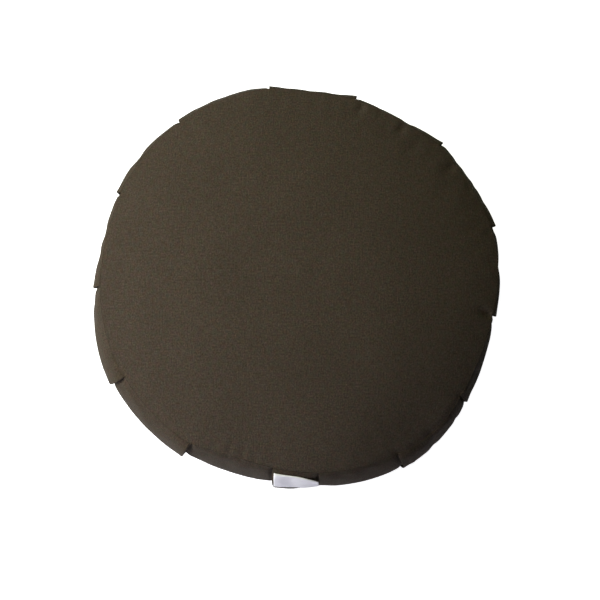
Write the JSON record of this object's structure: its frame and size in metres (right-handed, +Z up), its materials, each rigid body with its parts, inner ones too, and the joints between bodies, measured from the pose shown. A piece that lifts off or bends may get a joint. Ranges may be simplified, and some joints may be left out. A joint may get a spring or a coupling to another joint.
{
  "type": "zafu meditation cushion",
  "caption": "Round meditation cushion with a crowned top panel, a pleated side band, a flat-resting base panel and a small bare label.",
  "frame": {"origin": "middle of the flat face that the cushion rests on", "axes": "+Z up through the crown, -Y to the front, where the label is, +X to the right seen from the front"},
  "size_m": [0.3594, 0.3575, 0.15],
  "materials": {
    "band_cotton": "matte plain-weave cotton",
    "panel_cotton": "matte plain-weave cotton",
    "label_tape": "smooth woven tape"
  },
  "bodies": {
    "root": {"side_band": "band_cotton", "top_panel": "panel_cotton", "base_panel": "panel_cotton", "label": "label_tape"}
  },
  "joints": []
}
